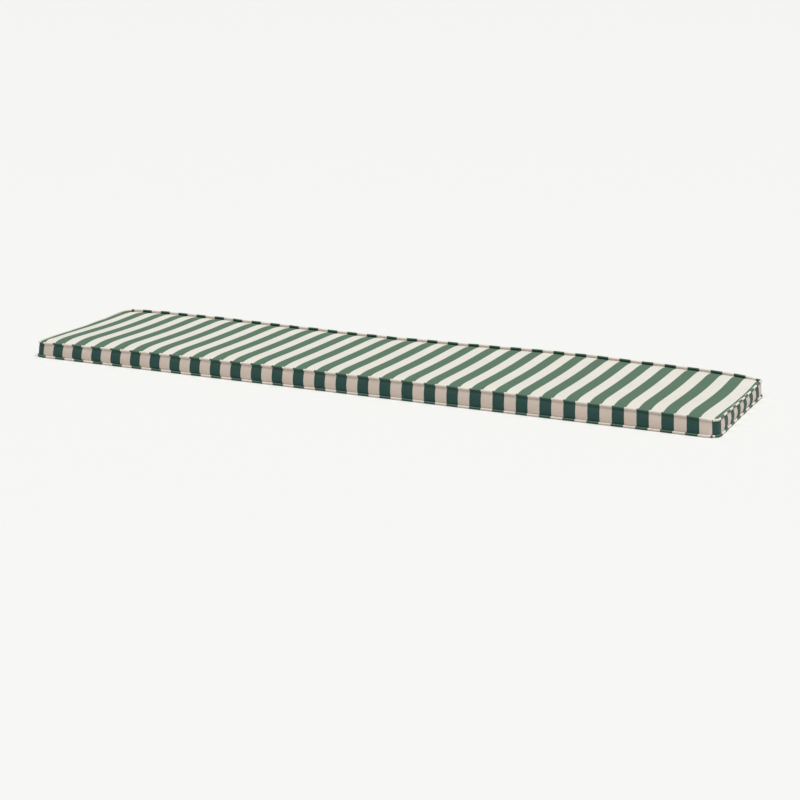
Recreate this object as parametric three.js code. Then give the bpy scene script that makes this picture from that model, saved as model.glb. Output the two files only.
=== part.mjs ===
// A long bench cushion: one filled, boxed cushion with piping sewn into its upper and lower edges.
// Millimetres, +Z up. The origin is on the surface it lies on, below its middle.
// +X runs along its length to the right, and +Y from its front edge to its back edge.
import * as THREE from "three";

// Driving dimensions
const LENGTH = 1945; // over the lower piping, left to right
const DEPTH = 488; // over the lower piping, front to back
const CORNER_RADIUS = 28; // of the seam lines, seen from above
const PIPING_RADIUS = 3; // covered cord
const PIPING_SIDES = 8; // facets round the cord
const GAP = 0.4; // between the cord and the cover beside it

// The sewn edges
const LOWER_SEAM = PIPING_RADIUS + 0.3; // height of the lower piping's centre line
const EDGE_HEIGHT = 43.5; // height of the upper piping's centre line at the front corners
const EDGE_BOW = 6; // its rise from the front corners to the middle of the front
const BACK_BOW = 2; // and from the back corners to the middle of the back
const EDGE_BACK = 9; // how much higher it lies along the back than along the front
const BACK_WAVE = 2; // rise and fall of the slow wave along the back
const WAVE_LENGTH = 1.2; // of that wave, in halves of the cushion's length
const WAVE_CREST = 0.45; // where it stands highest, right of the middle
const EDGE_LEAN = 1.5; // how much higher the front right corner lies than the middle, and the left one lower
const LEFT_DIP = 5.5; // how far it dips midway along the left end
const RIGHT_DIP = 10; // and along the right end
const DIP_SKEW = 0.5; // how much deeper an end dips towards its back
const CORNER_DROOP = 5; // how far it droops at each corner
const BACK_RIGHT_DROOP = 6; // how much further it droops at the back right corner
const TOP_DRAW_IN = 4; // how far the upper seam is drawn in from the lower one
const FRONT_DRAW_IN = 3; // how far the front is drawn in midway between the corners
const BACK_DRAW_IN = 9; // and the back
const END_DRAW_IN = 2; // how far the ends are drawn in midway between the corners

// How closely the ends and corners hold their own shape: the higher, the nearer to the edge
const END_POWER = 8;
const SINK_POWER = 9;
const CORNER_POWER_ALONG = 24;
const CORNER_POWER_ACROSS = 8;
const BACK_RIGHT_POWER = 12;

// The filled top
const SEAT_HEIGHT = 49.7; // the hollow along the middle, where it is sat on
const FRONT_RIDGE = 3; // how much higher the filling stands along the front
const BACK_RIDGE = 4; // and along the back
const LEFT_SINK = 6.5; // how far the hollow deepens at the left end
const RIGHT_SINK = 12; // and at the right end
const SHOULDER = 14; // how quickly the top panel rounds up from its seam

// How finely the top is divided. The lines crowd towards the edges.
const CELLS_ALONG = 40;
const CELLS_ACROSS = 18;
const CROWDING_ALONG = 2;
const CROWDING_ACROSS = 1.7;

// The side of the cushion from the flat underside to the rim of the top panel, a row for each ring.
// out: how far beyond the seam line; lift: height added;
// rise: share of the way from the lower seam line to the upper one.
const NOTCH = PIPING_RADIUS + GAP;
const SIDE_ROWS = [
  { out: -10.0, rise: 0.0, lift: -LOWER_SEAM },
  { out: -4.2, rise: 0.0, lift: -2.5 },
  { out: -NOTCH, rise: 0.0, lift: 0.0 },
  { out: -2.6, rise: 0.0, lift: 3.3 },
  { out: -0.2, rise: 0.2, lift: 0.0 },
  { out: 1.5, rise: 0.5, lift: 0.0 },
  { out: -0.2, rise: 0.8, lift: 0.0 },
  { out: -2.6, rise: 1.0, lift: -3.3 },
  { out: -NOTCH, rise: 1.0, lift: 0.0 },
];

// Finishes
const COVER_COLOUR = 0x8fa893; // green and off-white stripes, seen from a distance
const PIPING_COLOUR = 0x7f9985;
const CLOTH_ROUGHNESS = 0.85;

// Half sizes of the lower seam line
const HALF_LENGTH = LENGTH / 2 - PIPING_RADIUS;
const HALF_DEPTH = DEPTH / 2 - PIPING_RADIUS;

// Positions from -1 to 1 for the lines that divide a panel, crowded towards both edges.
function stations(cells, crowding) {
  return Array.from({ length: cells + 1 }, (_, i) => {
    const t = (2 * i) / cells - 1;
    return Math.sign(t) * (1 - Math.pow(1 - Math.abs(t), crowding));
  });
}

// Slow wave of the back edge.
function backWave(u) {
  return BACK_WAVE * Math.cos((2 * Math.PI * (u - WAVE_CREST)) / WAVE_LENGTH);
}

// How an end dips from front to back: nothing at its corners and most behind its middle.
function midway(v) {
  return (1 - v * v) * (1 + DIP_SKEW * v);
}

// Height of the upper seam line at (u, v), where u and v run from -1 to 1 along and across the cushion.
function edgeHeight(u, v) {
  const toBack = (1 + v) / 2;
  const bow = (EDGE_BOW + (BACK_BOW - EDGE_BOW) * toBack) * (1 - u * u);
  const back = EDGE_BACK * toBack + backWave(u) * toBack * toBack;
  const lean = (EDGE_LEAN * u * (1 - v)) / 2;
  const dip = (u < 0 ? LEFT_DIP : RIGHT_DIP) * Math.pow(u, END_POWER) * midway(v);
  const droop = CORNER_DROOP * Math.pow(u, CORNER_POWER_ALONG) * Math.pow(v, CORNER_POWER_ACROSS);
  const backRight = BACK_RIGHT_DROOP * Math.pow(Math.max(u, 0) * Math.max(v, 0), BACK_RIGHT_POWER);
  return EDGE_HEIGHT + bow + back + lean - dip - droop - backRight;
}

// Height on the side of the cushion: rise 0 is the lower seam line and 1 the upper one.
function sideHeight(u, v, rise) {
  return LOWER_SEAM + (edgeHeight(u, v) - LOWER_SEAM) * rise;
}

// Height of the top panel at (u, v), at a distance in from its seam.
function topHeight(u, v, distance) {
  const ridge = (v < 0 ? FRONT_RIDGE : BACK_RIDGE + backWave(u)) * v * v;
  const sink = (u < 0 ? LEFT_SINK : RIGHT_SINK) * Math.pow(Math.abs(u), SINK_POWER) * midway(v);
  const filled = SEAT_HEIGHT + ridge - sink;
  const edge = edgeHeight(u, v);
  return edge + (filled - edge) * (1 - Math.exp(-distance / SHOULDER));
}

// Where (u, v) lies seen from above: a rectangle with rounded corners and drawn-in sides, reaching out
// beyond the lower seam line by a given amount.
function plan(u, v, out) {
  const half = new THREE.Vector2(HALF_LENGTH + out, HALF_DEPTH + out);
  const radius = CORNER_RADIUS + out;
  const place = new THREE.Vector2(u, v).multiply(half);
  const straight = half.clone().subScalar(radius);
  const core = place.clone().clamp(straight.clone().negate(), straight);
  const offset = place.sub(core);
  const reach = Math.max(Math.abs(offset.x), Math.abs(offset.y));
  if (reach > 0) offset.setLength(reach);
  const between = core.clone().divide(straight);
  const drawn = new THREE.Vector2(
    END_DRAW_IN * (1 - between.y * between.y) * u,
    (v < 0 ? FRONT_DRAW_IN : BACK_DRAW_IN) * (1 - between.x * between.x) * v,
  );
  return core.add(offset).sub(drawn);
}

// The (u, v) of each point round the rim, anticlockwise seen from above.
function rimPoints(along, across) {
  const right = along.length - 1;
  const back = across.length - 1;
  const front = along.slice(0, right).map((u) => ({ u, v: -1 }));
  const rightEnd = across.slice(0, back).map((v) => ({ u: 1, v }));
  const rear = along.slice(1).reverse().map((u) => ({ u, v: 1 }));
  const leftEnd = across.slice(1).reverse().map((v) => ({ u: -1, v }));
  return [...front, ...rightEnd, ...rear, ...leftEnd];
}

// Two triangles between neighbouring points a, b of one row and c, d of the next.
function quad(a, b, c, d) {
  return [a, b, d, a, d, c];
}

function geometryFrom(points, triangles) {
  const geometry = new THREE.BufferGeometry().setFromPoints(points);
  geometry.setIndex(triangles);
  geometry.computeVertexNormals();
  return geometry;
}

// Rings of points joined in order, each ring closed on itself.
function ringTriangles(rings, size) {
  const triangles = [];
  for (let ring = 0; ring + 1 < rings; ring += 1) {
    for (let i = 0; i < size; i += 1) {
      const next = (i + 1) % size;
      const low = ring * size;
      const high = low + size;
      triangles.push(...quad(low + i, low + next, high + i, high + next));
    }
  }
  return triangles;
}

// The filled cushion: flat underside, drawn-in boxing between the two seams, and the crowned top panel.
function cushionGeometry() {
  const along = stations(CELLS_ALONG, CROWDING_ALONG);
  const across = stations(CELLS_ACROSS, CROWDING_ACROSS);
  const rim = rimPoints(along, across);
  const points = [];
  for (const { out, rise, lift } of SIDE_ROWS) {
    for (const { u, v } of rim) {
      const { x, y } = plan(u, v, out - TOP_DRAW_IN * rise);
      points.push(new THREE.Vector3(x, y, sideHeight(u, v, rise) + lift));
    }
  }
  const triangles = ringTriangles(SIDE_ROWS.length, rim.length);

  const underside = points.slice(0, rim.length).map((p) => new THREE.Vector2(p.x, p.y));
  for (const [a, b, c] of THREE.ShapeUtils.triangulateShape(underside, [])) triangles.push(a, c, b);

  // The rim of the top panel is the last ring of the side, and its inner points are added here.
  const topOut = -NOTCH - TOP_DRAW_IN;
  const rimStart = points.length - rim.length;
  const rimIndex = new Map(rim.map(({ u, v }, i) => [`${u},${v}`, rimStart + i]));
  const grid = across.map((v) =>
    along.map((u) => {
      const onRim = rimIndex.get(`${u},${v}`);
      if (onRim !== undefined) return onRim;
      const { x, y } = plan(u, v, topOut);
      const distance = Math.min((1 - Math.abs(u)) * HALF_LENGTH, (1 - Math.abs(v)) * HALF_DEPTH);
      points.push(new THREE.Vector3(x, y, topHeight(u, v, distance)));
      return points.length - 1;
    }),
  );
  for (let j = 0; j < CELLS_ACROSS; j += 1) {
    for (let i = 0; i < CELLS_ALONG; i += 1) {
      triangles.push(...quad(grid[j][i], grid[j][i + 1], grid[j + 1][i], grid[j + 1][i + 1]));
    }
  }
  return geometryFrom(points, triangles);
}

// A cord closed on itself along a seam: rise 0 is the lower seam and 1 the upper one.
function pipingGeometry(rise) {
  const rim = rimPoints(stations(CELLS_ALONG, CROWDING_ALONG), stations(CELLS_ACROSS, CROWDING_ACROSS));
  const points = [];
  for (let side = 0; side <= PIPING_SIDES; side += 1) {
    const angle = (2 * Math.PI * side) / PIPING_SIDES;
    const out = PIPING_RADIUS * Math.sin(angle) - TOP_DRAW_IN * rise;
    const lift = -PIPING_RADIUS * Math.cos(angle);
    for (const { u, v } of rim) {
      const { x, y } = plan(u, v, out);
      points.push(new THREE.Vector3(x, y, sideHeight(u, v, rise) + lift));
    }
  }
  return geometryFrom(points, ringTriangles(PIPING_SIDES + 1, rim.length));
}

function clothMesh(name, geometry, color) {
  const material = new THREE.MeshStandardMaterial({ color, roughness: CLOTH_ROUGHNESS, metalness: 0 });
  const mesh = new THREE.Mesh(geometry, material);
  mesh.name = name;
  return mesh;
}

const cushion = new THREE.Group();
cushion.add(clothMesh("cushion_body", cushionGeometry(), COVER_COLOUR));
cushion.add(clothMesh("lower_piping", pipingGeometry(0), PIPING_COLOUR));
cushion.add(clothMesh("upper_piping", pipingGeometry(1), PIPING_COLOUR));

export default cushion;
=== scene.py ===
from math import pi, radians

import bpy
import numpy as np
from mathutils import Matrix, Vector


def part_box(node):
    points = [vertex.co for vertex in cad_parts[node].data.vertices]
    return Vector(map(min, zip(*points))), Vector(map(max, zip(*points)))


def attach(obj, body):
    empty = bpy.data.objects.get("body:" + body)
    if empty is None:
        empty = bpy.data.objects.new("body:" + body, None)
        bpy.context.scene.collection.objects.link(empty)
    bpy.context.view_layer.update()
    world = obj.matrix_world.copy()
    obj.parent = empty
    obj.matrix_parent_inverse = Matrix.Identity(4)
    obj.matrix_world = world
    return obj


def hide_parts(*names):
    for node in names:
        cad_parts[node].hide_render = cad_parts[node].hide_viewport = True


# A long box cushion in striped outdoor cloth: a filled cover with covered cord sewn into both its seams.
# Metres, +Z up. +X runs along its length to the right, and +Y from its front edge to its back edge.
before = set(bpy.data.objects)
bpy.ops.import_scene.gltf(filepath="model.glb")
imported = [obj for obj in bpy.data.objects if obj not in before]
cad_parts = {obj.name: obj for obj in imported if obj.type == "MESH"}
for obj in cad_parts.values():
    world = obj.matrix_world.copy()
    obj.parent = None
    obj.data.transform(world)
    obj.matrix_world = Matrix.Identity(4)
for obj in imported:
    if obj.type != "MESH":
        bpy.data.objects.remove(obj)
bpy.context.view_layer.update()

# The lower seam line, from the frame
piping_low, piping_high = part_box("lower_piping")
CORD_RADIUS = (piping_high.z - piping_low.z) / 2
LOWER_SEAM = (piping_high.z + piping_low.z) / 2
HALF_LENGTH = piping_high.x - CORD_RADIUS
HALF_DEPTH = piping_high.y - CORD_RADIUS

# The sewn edges, as in the solids
CORNER_RADIUS = 0.028
EDGE_HEIGHT = 0.0435  # height of the upper seam line at the front corners
EDGE_BOW = 0.006  # its rise from the front corners to the middle of the front
BACK_BOW = 0.002  # and from the back corners to the middle of the back
EDGE_BACK = 0.009  # how much higher it lies along the back
BACK_WAVE = 0.002  # rise and fall of the slow wave along the back
WAVE_LENGTH = 1.2  # of that wave, in halves of the cushion's length
WAVE_CREST = 0.45  # where it stands highest, right of the middle
EDGE_LEAN = 0.0015  # how much the front is raised at its right corner, and lowered at its left one
LEFT_DIP = 0.0055  # how far it dips midway along the left end
RIGHT_DIP = 0.010  # and along the right end
DIP_SKEW = 0.5  # how much deeper an end dips towards its back
CORNER_DROOP = 0.005  # how far it droops at each corner
BACK_RIGHT_DROOP = 0.006  # how much further it droops at the back right corner
TOP_DRAW_IN = 0.004  # how far the upper seam is drawn in from the lower one
FRONT_DRAW_IN = 0.003  # how far the front is drawn in midway between the corners
BACK_DRAW_IN = 0.009  # and the back
END_DRAW_IN = 0.002  # and the ends
END_POWER = 8  # the higher, the nearer to the end its dip is held
SINK_POWER = 9  # the same for the sinking of the top panel at the ends
CORNER_POWERS = (24, 8)  # the same for the droop of the corners, along and across
BACK_RIGHT_POWER = 12  # and for the further droop of the back right one

# The filled top, as in the solids
SEAT_HEIGHT = 0.0497  # in the middle of the top panel
FRONT_RIDGE = 0.003  # how much higher it stands near the front seam
BACK_RIDGE = 0.004  # and near the back one
LEFT_SINK = 0.0065  # how far it sinks at the left end
RIGHT_SINK = 0.012  # and at the right end
SHOULDER = 0.014  # how quickly it rounds up from its seam

# The cover beside the cord
SEWING_GAP = 0.0004
NOTCH = CORD_RADIUS + SEWING_GAP  # how far in from the cord's middle the cover is sewn
CREASE_FRONT = 0.0003  # how far below the cord's middle the top panel meets it along the front
CREASE_BACK = 0.0045  # and along the back
CREASE_WIDTH = 0.010
END_STAND = 0.003  # how far the top panel stands up beside the cord midway along the ends
STAND_POWER = 40  # the higher, the nearer to the end it does so
BACK_RISE = 0.0035  # how much higher one stretch of the back edge stands
RISE_MIDDLE = 0.45  # where that stretch is, in halves of the cushion's length
RISE_WIDTH = 0.28
BACK_FOLD = 0.003  # how far the top panel is folded down in front of the back cord
FOLD_WIDTHS = (0.003, 0.025)  # of the side of that fold next to the cord, and of the other one
BACK_POWER = 6  # the higher, the nearer to the back its crease, rise, fold and flange begin
TURN_IN = 0.0042  # how far in from the lower cord's middle the cover turns under it
TURN_HEIGHT = 0.0008
UNDER_RIM = 0.010  # how far in from the lower seam the under panel lies flat

# The filling swells the cover from a smaller start
TOP_SWELL = 0.003  # how much lower the top panel starts
BOXING_FULLNESS = 6  # the higher, the nearer to its seams the boxing comes out level with the cord's middle
SWELL_LIMIT = 0.005
PRESSURE = 4.0
FILLING_FRAMES = 20

# How finely the cover is divided. The lines of the panels crowd towards the edges.
CELLS_ALONG = 180
CELLS_ACROSS = 44
CROWDING_ALONG = 1.35
CROWDING_ACROSS = 1.5
BOXING_ROWS = 10
UNDER_ROWS = 2
LAST_ROW = BOXING_ROWS + UNDER_ROWS
RIM_POINTS = 8001

# The covered cord
PIPING_STEPS = 1000
PIPING_SIDES = 14
FLANGE = 1.0  # how far its sewn flange shows below it along the back, as a share of its radius

# The unevenness of sewing, and how often each of its waves comes round the rim
SEAM_UNEVEN = 0.0006
SEAM_WAVES = (13, 29, 47)
PIPING_UNEVEN = 0.08  # share of the cord's radius
PIPING_WAVES = (61, 97, 151)

# The stripes
STRIPE = 0.031  # width of one stripe, green or off-white
FIRST_GREEN = -0.8915  # middle of a green stripe, along the front
END_STRETCH = 1.055  # how much wider the boxing's stripes are on the ends
RIGHT_EASE = 0.004  # how far the top panel's stripes are eased to the right at the right end
EASE_POWER = 10  # the higher, the nearer to the end they are
# How far to the right the piping's stripes are out of step with the cover's on each side of the cushion, and
# how much further for each metre to the right along the front. Along the left end the upper piping is all
# one white stripe.
UPPER_STEPS = {"front": -0.0015, "drift": 0.0, "right": 0.031, "back": -0.002, "left": None}
LOWER_STEPS = {"front": 0.0025, "drift": -0.005, "right": 0.006, "back": -0.004, "left": -0.010}

SAME_PLACE = 1e-6  # what is closer than this is at the same place
TINY = 1e-9  # keeps a length from being nothing where it divides


def deselect_all():
    for piece in bpy.context.selected_objects:
        piece.select_set(False)


def points_of(piece):
    flat = np.empty(len(piece.data.vertices) * 3)
    piece.data.vertices.foreach_get("co", flat)
    return flat.reshape(-1, 3)


def move_points(piece, points):
    piece.data.vertices.foreach_set("co", np.asarray(points, float).ravel())
    piece.data.update()


def corners_of(piece):
    """Which point is at each corner of each face. All faces have four."""
    corners = np.empty(len(piece.data.loops), int)
    piece.data.loops.foreach_get("vertex_index", corners)
    return corners.reshape(-1, 4)


def lay_cloth(piece, across, along):
    """The piece's cloth map, in metres at the corners of its faces: across the stripes, and along them."""
    cloth = piece.data.uv_layers.new(name="cloth")
    cloth.uv.foreach_set("vector", np.stack([across, along], -1).astype(np.float32).ravel())


def smooth_cloth(piece):
    deselect_all()
    piece.select_set(True)
    bpy.context.view_layer.objects.active = piece
    bpy.ops.object.shade_smooth()


# u and v run from -1 to 1 along and across the cushion. A place on its rim is a single number as well: 0 at
# the middle of the front, 1 and 3 at the front and back right corners, 4 at the middle of the back, and less
# than 0 on the left.


def crowd(t, power):
    return np.sign(t) * (1 - (1 - np.abs(t)) ** power)


def rim_to_uv(place):
    far = np.abs(place)
    u = np.sign(place) * np.select([far < 1, far < 3], [far, 1], 4 - far)
    v = np.select([far < 1, far < 3], [-1, far - 2], 1)
    return u, v


def nearest_rim(u, v, half):
    """The rim place nearest to each (u, v), and its distance. half is -1 or 1, left or right on the back."""
    to_end = (1 - np.abs(u)) * HALF_LENGTH
    to_side = (1 - np.abs(v)) * HALF_DEPTH
    along_end = np.sign(u) * (2 + v)
    along_side = np.where(v < 0, u, half * (4 - np.abs(u)))
    return np.where(to_end < to_side, along_end, along_side), np.minimum(to_end, to_side)


def plan(u, v, out):
    """Where (u, v) lies seen from above, reaching out beyond the lower seam line by a given amount."""
    out = np.broadcast_to(out, np.shape(u))
    half = np.stack([HALF_LENGTH + out, HALF_DEPTH + out], -1)
    straight = half - (CORNER_RADIUS + out)[..., None]
    place = np.stack([u, v], -1) * half
    core = np.clip(place, -straight, straight)
    offset = place - core
    reach = np.abs(offset).max(-1, keepdims=True)
    length = np.linalg.norm(offset, axis=-1, keepdims=True)
    offset = offset * reach / np.maximum(length, TINY)
    between = core / straight
    drawn_x = END_DRAW_IN * (1 - between[..., 1] ** 2) * u
    drawn_y = np.where(v < 0, FRONT_DRAW_IN, BACK_DRAW_IN) * (1 - between[..., 0] ** 2) * v
    return core + offset - np.stack([drawn_x, drawn_y], -1)


# Length round the rim from the middle of the front, less than 0 on the left
RIM_PLACES = np.linspace(-4, 4, RIM_POINTS)
rim_line = plan(*rim_to_uv(RIM_PLACES), -TOP_DRAW_IN / 2)
RIM_LENGTHS = np.concatenate([[0], np.cumsum(np.linalg.norm(np.diff(rim_line, axis=0), axis=1))])
RIM_LENGTHS -= RIM_LENGTHS[len(RIM_LENGTHS) // 2]
RIM_TOTAL = RIM_LENGTHS[-1] - RIM_LENGTHS[0]


def rim_length(place):
    return np.interp(place, RIM_PLACES, RIM_LENGTHS)


def stretched_length(place):
    """Length round the rim as the boxing's cloth has it, stretched beyond the front corners."""
    length = np.abs(rim_length(place))
    front = np.minimum(length, rim_length(1))
    return np.sign(place) * (front + (length - front) / END_STRETCH)


def waver(place, size, waves):
    """Slow unevenness of sewing, round the rim and closed on itself."""
    turn = 2 * pi * rim_length(place) / RIM_TOTAL
    return size * sum(np.sin(n * turn + n * n) for n in waves) / len(waves)


def seam_waver(place):
    return waver(place, SEAM_UNEVEN, SEAM_WAVES)


def near_back(v):
    """From 0 at the front to 1 at the back, most of it close to the back."""
    return ((1 + v) / 2) ** BACK_POWER


def back_wave(u):
    return BACK_WAVE * np.cos(2 * pi * (u - WAVE_CREST) / WAVE_LENGTH)


def back_rise(u, v):
    return BACK_RISE * np.exp(-(((u - RISE_MIDDLE) / RISE_WIDTH) ** 2)) * near_back(v)


def midway(v):
    """How an end dips from front to back: nothing at its corners and most behind its middle."""
    return (1 - v**2) * (1 + DIP_SKEW * v)


def edge_height(u, v):
    """Height of the upper seam line."""
    to_back = (1 + v) / 2
    bow = (EDGE_BOW + (BACK_BOW - EDGE_BOW) * to_back) * (1 - u**2)
    back = EDGE_BACK * to_back + back_wave(u) * to_back**2
    lean = EDGE_LEAN * u * (1 - v) / 2
    dip = np.where(u < 0, LEFT_DIP, RIGHT_DIP) * u**END_POWER * midway(v)
    droop = CORNER_DROOP * u ** CORNER_POWERS[0] * v ** CORNER_POWERS[1]
    droop = droop + BACK_RIGHT_DROOP * (np.maximum(u, 0) * np.maximum(v, 0)) ** BACK_RIGHT_POWER
    return EDGE_HEIGHT + bow + back + lean - dip - droop + back_rise(u, v)


def crease(u, v):
    """How far below the cord's middle the cover is sewn to it."""
    stand = END_STAND * np.abs(u) ** STAND_POWER * (1 - v**2)
    return CREASE_FRONT + (CREASE_BACK - CREASE_FRONT) * near_back(v) - stand


def back_fold(u, v, distance):
    """How far the top panel is folded down, at a distance in from its seam."""
    near, far = FOLD_WIDTHS
    depth = BACK_FOLD * near_back(v) + back_rise(u, v)
    return depth * (1 - np.exp(-distance / near)) * np.exp(-distance / far)


def top_height(u, v, distance, wavering):
    """Height of the top panel before it is filled, at a distance in from its seam."""
    ridge = np.where(v < 0, FRONT_RIDGE, BACK_RIDGE + back_wave(u)) * v**2
    sink = np.where(u < 0, LEFT_SINK, RIGHT_SINK) * np.abs(u) ** SINK_POWER * midway(v)
    filled = SEAT_HEIGHT + ridge - sink - TOP_SWELL
    edge = edge_height(u, v) + wavering
    rounded = edge + (filled - edge) * (1 - np.exp(-distance / SHOULDER))
    return rounded - crease(u, v) * np.exp(-distance / CREASE_WIDTH) - back_fold(u, v, distance)


def cut_cover():
    """The cover laid out square: top panel at 0, boxing row by row below it, under panel at the last."""
    deselect_all()
    bpy.ops.mesh.primitive_grid_add(x_subdivisions=CELLS_ALONG, y_subdivisions=CELLS_ACROSS, size=2)
    cover = bpy.context.active_object
    cover.name = "cushion_cover"
    bpy.ops.object.mode_set(mode="EDIT")
    bpy.ops.mesh.select_mode(type="EDGE")
    bpy.ops.mesh.select_all(action="SELECT")
    bpy.ops.mesh.region_to_loop()
    for _ in range(LAST_ROW):
        bpy.ops.mesh.extrude_region_move(TRANSFORM_OT_translate={"value": (0, 0, -1)})
    bpy.ops.mesh.select_all(action="DESELECT")
    bpy.ops.object.mode_set(mode="OBJECT")
    for face in cover.data.polygons:
        face.select = abs(face.center.z) < 0.25
    bpy.ops.object.mode_set(mode="EDIT")
    bpy.ops.mesh.select_mode(type="FACE")
    bpy.ops.mesh.duplicate_move(TRANSFORM_OT_translate={"value": (0, 0, -LAST_ROW)})
    bpy.ops.mesh.flip_normals()
    bpy.ops.mesh.select_all(action="SELECT")
    bpy.ops.mesh.remove_doubles(threshold=1e-4)
    bpy.ops.mesh.normals_make_consistent(inside=False)
    bpy.ops.object.mode_set(mode="OBJECT")
    return cover


def shape_cover(cover, u, v, row):
    """Moves the square layout to the cushion's own form."""
    rim, distance = nearest_rim(u, v, np.where(u < 0, -1, 1))
    wavering = seam_waver(rim)
    on_rim = distance < SAME_PLACE
    down = np.clip(row / BOXING_ROWS, 0, 1)
    down = (1 - np.cos(pi * down)) / 2
    swell = (1 - np.abs(2 * down - 1) ** BOXING_FULLNESS) ** 0.5
    out = -NOTCH + NOTCH * swell - TOP_DRAW_IN * (1 - down)
    out = np.select([row == LAST_ROW, row > BOXING_ROWS], [-UNDER_RIM, -TURN_IN], out)
    out += np.where(on_rim, wavering * (1 - down), 0)
    seam = edge_height(u, v) + wavering - crease(u, v)
    height = seam + (LOWER_SEAM - seam) * down
    height = np.where(row == 0, top_height(u, v, distance, wavering), height)
    height = np.select([row == LAST_ROW, row > BOXING_ROWS], [0, TURN_HEIGHT], height)
    move_points(cover, np.column_stack([plan(u, v, out), height]))


def lay_cover(cover, u, v, row):
    """Lays the stripes from front to back on the panels, and upright on the boxing."""
    corners = corners_of(cover)
    points = points_of(cover)[corners]
    u, v, row = u[corners], v[corners], row[corners]
    boxing = np.ptp(row, axis=1, keepdims=True) > 0
    back = v.mean(1, keepdims=True) > 1 - SAME_PLACE
    half = np.where(u.mean(1, keepdims=True) < 0, -1, 1)
    rim, _ = nearest_rim(u, v, half)
    eased = points[..., 0] - RIGHT_EASE * np.maximum(u, 0) ** EASE_POWER * midway(v)
    across = np.where(boxing & ~back, stretched_length(rim), eased)
    along = np.where(boxing, points[..., 2], points[..., 1])
    lay_cloth(cover, across, along)


def fill_cover(cover, sewn):
    """Swells the cover by pressure from inside, held along its seams and underneath."""
    start = points_of(cover)
    held = cover.vertex_groups.new(name="sewn")
    held.add(np.flatnonzero(sewn).tolist(), 1.0, "REPLACE")
    filling = cover.modifiers.new("filling", "CLOTH")
    filling.settings.vertex_group_mass = "sewn"
    filling.settings.use_pressure = True
    filling.settings.uniform_pressure_force = PRESSURE
    filling.settings.effector_weights.gravity = 0
    filling.point_cache.frame_start = 1
    filling.point_cache.frame_end = FILLING_FRAMES
    for step in range(1, FILLING_FRAMES + 1):
        bpy.context.scene.frame_set(step)
    bpy.context.view_layer.objects.active = cover
    bpy.ops.object.modifier_apply(modifier="filling")
    cover.vertex_groups.clear()
    swelled = points_of(cover) - start
    size = np.linalg.norm(swelled, axis=1, keepdims=True)
    limited = SWELL_LIMIT * np.tanh(size / SWELL_LIMIT)
    move_points(cover, start + swelled * limited / np.maximum(size, TINY))
    bpy.context.scene.frame_set(1)


def make_cover():
    cover = cut_cover()
    layout = points_of(cover)
    u = crowd(layout[:, 0], CROWDING_ALONG)
    v = crowd(layout[:, 1], CROWDING_ACROSS)
    row = np.rint(-layout[:, 2])
    shape_cover(cover, u, v, row)
    lay_cover(cover, u, v, row)
    rim = np.maximum(np.abs(u), np.abs(v)) > 1 - SAME_PLACE
    sewn = (row >= BOXING_ROWS) | (rim & (row == 0))
    fill_cover(cover, sewn)
    finer = cover.modifiers.new("finer", "SUBSURF")
    finer.levels = 1
    finer.render_levels = 1
    bpy.ops.object.modifier_apply(modifier="finer")
    smooth_cloth(cover)
    return cover


def unbroken(around, whole):
    """What runs round a closed ring, at the corners of its faces, carried on past the ring's joint."""
    past = around - around.max(1, keepdims=True) < -whole / 2
    return np.where(past, around + whole, around)


def wrap_piping(piping, place, length, lean, steps):
    """Lays the stripes round the cord, on each side of the cushion by that side's own step."""
    corners = corners_of(piping)
    x = points_of(piping)[corners, 0]
    middle = place[corners].mean(1, keepdims=True)
    front = np.abs(middle) < 1
    back = np.abs(middle) >= 3
    left = ~front & ~back & (middle < 0)
    right = ~front & ~back & (middle > 0)
    across = np.where(front | back, x, unbroken(length[corners], RIM_TOTAL))
    side_steps = [steps["right"], steps["left"] or 0, steps["back"]]
    step = np.select([right, left, back], side_steps, steps["front"])
    across = across - step - np.where(front, steps["drift"] * x, 0)
    if steps["left"] is None:
        across = np.where(left, FIRST_GREEN + STRIPE, across)
    lay_cloth(piping, across, unbroken(lean[corners], 2 * pi) * CORD_RADIUS)


def make_piping(name, rise, steps):
    """A covered cord closed on itself: rise 0 is the lower seam and 1 the upper one."""
    deselect_all()
    bpy.ops.mesh.primitive_torus_add(
        major_segments=PIPING_STEPS, minor_segments=PIPING_SIDES, major_radius=1, minor_radius=0.25
    )
    piping = bpy.context.active_object
    piping.name = name
    ring = points_of(piping)
    length = np.arctan2(ring[:, 1], ring[:, 0]) / (2 * pi) * RIM_TOTAL
    lean = np.arctan2(ring[:, 2], np.hypot(ring[:, 0], ring[:, 1]) - 1)
    place = np.interp(length, RIM_LENGTHS, RIM_PLACES)
    u, v = rim_to_uv(place)
    wavering = seam_waver(place)
    radius = CORD_RADIUS * (1 + waver(place, PIPING_UNEVEN, PIPING_WAVES))
    seam = LOWER_SEAM + (edge_height(u, v) + wavering - LOWER_SEAM) * rise
    out = radius * np.cos(lean) - (TOP_DRAW_IN - wavering) * rise
    flange = FLANGE * rise * near_back(v)
    height = radius * np.sin(lean) * np.where(lean < 0, 1 + flange, 1)
    move_points(piping, np.column_stack([plan(u, v, out), seam + height]))
    wrap_piping(piping, place, length, lean, steps)
    smooth_cloth(piping)
    return piping


def linear(red, green, blue):
    """A colour as a screen shows it, from 0 to 255, as the amounts of light that materials take."""
    shown = np.array([red, green, blue]) / 255
    light = np.where(shown < 0.04045, shown / 12.92, ((shown + 0.055) / 1.055) ** 2.4)
    return (*light.tolist(), 1.0)


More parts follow.
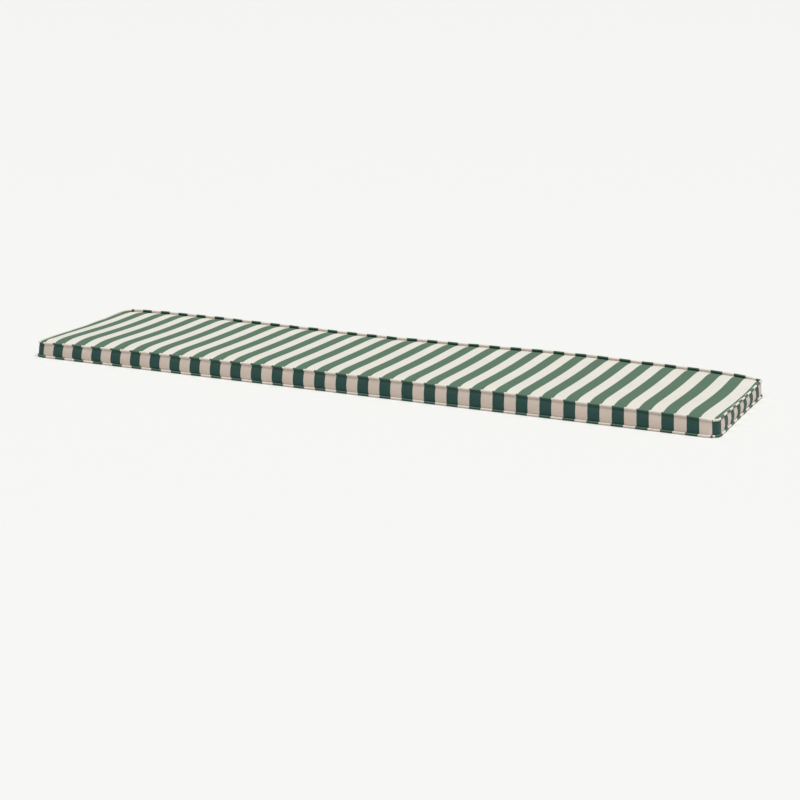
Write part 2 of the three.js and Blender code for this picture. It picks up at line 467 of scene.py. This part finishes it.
# The cloth. Painted light and shade: each stripe colour has a shaded copy for cloth that stands upright or
# faces down, and a lit copy for cloth that faces up.
SHADED_GREEN = linear(47, 80, 75)
PAINTED_LIT_GREEN = linear(88, 118, 96)
SHADED_WHITE = linear(221, 204, 191)
PAINTED_LIT_WHITE = linear(231, 228, 217)
COVER_PAINTED_LIGHT = (0.15, 0.95)  # where the painted light begins and where it is full, by how far the cloth faces up, from 0 for upright cloth to 1 for level
# the same for the cord, so that its upper half takes the painted light and its underside the painted shade
PIPING_PAINTED_LIGHT = (-0.2, 0.8)
STRAY = 0.0004  # how far a stripe's edge strays to either side
STRAY_SCALE = 500.0
BLUR = 0.0003  # how far it is blurred to either side
YARN = 0.0009  # width of one yarn
SLUB = 0.025  # length of a thicker stretch of yarn
YARN_TONE = 0.16  # how much the tone changes from yarn to yarn
LOWEST_YARN_TONE = 0.76
CLOUD_SCALE = 9.0
CLOUD_TONE = 0.14  # how much it changes from place to place
LOWEST_CLOUD_TONE = 1.01
WEAVE_RELIEF = 0.35  # how much the weave shows beside the yarns' own unevenness
RELIEF_STRENGTH = 0.35
RELIEF_DEPTH = 0.0006
LOWEST_ROUGHNESS = 0.74
ROUGHNESS_CHANGE = 0.12


class Nodes:
    """A material's nodes, added and linked one after another."""

    def __init__(self, name):
        self.material = bpy.data.materials.new(name)
        self.material.use_nodes = True
        self.tree = self.material.node_tree
        self.surface = self.tree.nodes["Principled BSDF"]

    def add(self, kind, inputs=(), **settings):
        node = self.tree.nodes.new("ShaderNode" + kind)
        for name, value in settings.items():
            setattr(node, name, value)
        for socket, value in dict(inputs).items():
            self.feed(node.inputs[socket], value)
        return node

    def feed(self, socket, value):
        if isinstance(value, bpy.types.NodeSocket):
            self.tree.links.new(value, socket)
        else:
            socket.default_value = value

    def finish(self, **values):
        for name, value in values.items():
            self.feed(self.surface.inputs[name.replace("_", " ")], value)
        return self.material

    def math(self, operation, *values):
        return self.add("Math", dict(enumerate(values)), operation=operation).outputs[0]

    def between(self, share, low, high):
        """A colour between two. A Mix node has its colours at sockets 6 and 7, and the result at 2."""
        return self.add("Mix", {0: share, 6: low, 7: high}, data_type="RGBA").outputs[2]

    def spread(self, value, low, high):
        """From 0 at low to 1 at high."""
        inputs = {"Value": value, "From Min": low, "From Max": high, "To Min": 0.0, "To Max": 1.0}
        return self.add("MapRange", inputs, interpolation_type="SMOOTHSTEP").outputs[0]

    def speckle(self, place, scale, detail=2.0):
        return self.add("TexNoise", {"Vector": place, "Scale": scale, "Detail": detail}).outputs["Fac"]

    def stretched(self, place, across, along):
        inputs = {"Vector": place, "Scale": (1 / across, 1 / along, 1.0)}
        return self.add("Mapping", inputs).outputs[0]


def striped_cloth(name, painted_light_range):
    """Plain-woven cloth with painted light and shade: paler where it faces up, darker where it stands
    upright or faces down. The last argument is where the painted light begins and where it is full.
    """
    nodes = Nodes(name)
    cloth = nodes.add("UVMap", uv_map="cloth").outputs[0]
    axes = nodes.add("SeparateXYZ", {0: cloth}).outputs
    facing = nodes.add("TexCoord").outputs["Normal"]
    upward = nodes.add("SeparateXYZ", {0: facing}).outputs[2]
    # Painted light: how far the cloth faces up picks between the shaded and the lit copy of each colour.
    painted_light = nodes.spread(upward, *painted_light_range)

    stray = nodes.speckle(cloth, STRAY_SCALE)
    stray = nodes.math("MULTIPLY_ADD", stray, 2 * STRAY, -STRAY - FIRST_GREEN)
    from_green = nodes.math("PINGPONG", nodes.math("ADD", axes[0], stray), STRIPE)
    off_white = nodes.spread(from_green, STRIPE / 2 - BLUR, STRIPE / 2 + BLUR)
    green = nodes.between(painted_light, SHADED_GREEN, PAINTED_LIT_GREEN)
    white = nodes.between(painted_light, SHADED_WHITE, PAINTED_LIT_WHITE)
    dyed = nodes.between(off_white, green, white)

    warp = nodes.speckle(nodes.stretched(cloth, YARN, SLUB), 1.0)
    weft = nodes.speckle(nodes.stretched(cloth, SLUB, YARN), 1.0)
    warp_tone = nodes.math("MULTIPLY_ADD", warp, YARN_TONE, LOWEST_YARN_TONE)
    weft_tone = nodes.math("MULTIPLY", weft, YARN_TONE)
    cloud_tone = nodes.speckle(cloth, CLOUD_SCALE, 4.0)
    cloud_tone = nodes.math("MULTIPLY_ADD", cloud_tone, CLOUD_TONE, LOWEST_CLOUD_TONE)
    tone = nodes.math("MULTIPLY", nodes.math("ADD", warp_tone, weft_tone), cloud_tone)
    toned = nodes.add("HueSaturation", {"Value": tone, "Color": dyed}).outputs[0]

    over = nodes.math("SINE", nodes.math("MULTIPLY", axes[0], pi / YARN))
    under = nodes.math("SINE", nodes.math("MULTIPLY", axes[1], pi / YARN))
    weave = nodes.math("MULTIPLY", over, under)
    slubs = nodes.math("ADD", warp, weft)
    relief = nodes.math("MULTIPLY_ADD", weave, WEAVE_RELIEF, slubs)
    relief = {"Strength": RELIEF_STRENGTH, "Distance": RELIEF_DEPTH, "Height": relief}
    return nodes.finish(
        Base_Color=toned,
        Roughness=nodes.math("MULTIPLY_ADD", slubs, ROUGHNESS_CHANGE, LOWEST_ROUGHNESS),
        Normal=nodes.add("Bump", relief).outputs[0],
        Specular_IOR_Level=0.25,
        Sheen_Weight=0.08,
        Sheen_Roughness=0.5,
    )


def pale_floor():
    return Nodes("pale_floor").finish(
        Base_Color=linear(240, 240, 238), Roughness=0.9, Specular_IOR_Level=0.1
    )


# The cushion
cover = make_cover()
upper_piping = make_piping("upper_piping_cord", 1, UPPER_STEPS)
lower_piping = make_piping("lower_piping_cord", 0, LOWER_STEPS)
cover.data.materials.append(striped_cloth("striped_cover_cloth", COVER_PAINTED_LIGHT))
piping_cloth = striped_cloth("striped_piping_cloth", PIPING_PAINTED_LIGHT)
for piping in (upper_piping, lower_piping):
    piping.data.materials.append(piping_cloth)

for piece, node, slot in (
    (cover, "cushion_body", "striped_cover"),
    (upper_piping, "upper_piping", "striped_piping"),
    (lower_piping, "lower_piping", "striped_piping"),
):
    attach(piece, "root")
    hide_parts(node)

# Floor, light and camera
FLOOR_SIZE = 120.0
SUN_HEIGHT = 3.0
SUN_STRENGTH = 2.5
SUN_SPREAD = 40.0  # degrees
SUN_TILT = (6.0, 12.0)  # degrees from straight above: towards the front, and towards the right
SKY_COLOUR = (1, 1, 1, 1)
SKY_STRENGTH = 0.30
CAMERA_PLACE = (1.9317, -4.3222, 1.1162)
CAMERA_TURN = 23.645  # degrees left of straight back
CAMERA_PITCH = 14.045  # degrees down
CAMERA_ROLL = 0.806  # degrees
LENS = 81.117  # millimetres
SENSOR_WIDTH = 36  # millimetres

deselect_all()
bpy.ops.mesh.primitive_plane_add(size=FLOOR_SIZE)
floor = bpy.context.active_object
floor.name = "floor"
floor.data.materials.append(pale_floor())

sun_turn = Matrix.Rotation(radians(SUN_TILT[1]), 4, "Y") @ Matrix.Rotation(radians(SUN_TILT[0]), 4, "X")
bpy.ops.object.light_add(type="SUN", location=(0, 0, SUN_HEIGHT), rotation=sun_turn.to_euler())
sun = bpy.context.active_object.data
sun.energy = SUN_STRENGTH
sun.angle = radians(SUN_SPREAD)

sky = bpy.data.worlds.new("studio")
sky.use_nodes = True
sky.node_tree.nodes["Background"].inputs["Color"].default_value = SKY_COLOUR
sky.node_tree.nodes["Background"].inputs["Strength"].default_value = SKY_STRENGTH
bpy.context.scene.world = sky
bpy.context.scene.view_settings.view_transform = "Standard"

turn = Matrix.Rotation(radians(CAMERA_TURN), 4, "Z")
pitch = Matrix.Rotation(radians(90 - CAMERA_PITCH), 4, "X")
roll = Matrix.Rotation(radians(CAMERA_ROLL), 4, "Z")
bpy.ops.object.camera_add(location=CAMERA_PLACE, rotation=(turn @ pitch @ roll).to_euler())
camera = bpy.context.active_object
camera.data.lens = LENS
camera.data.sensor_width = SENSOR_WIDTH
bpy.context.scene.camera = camera
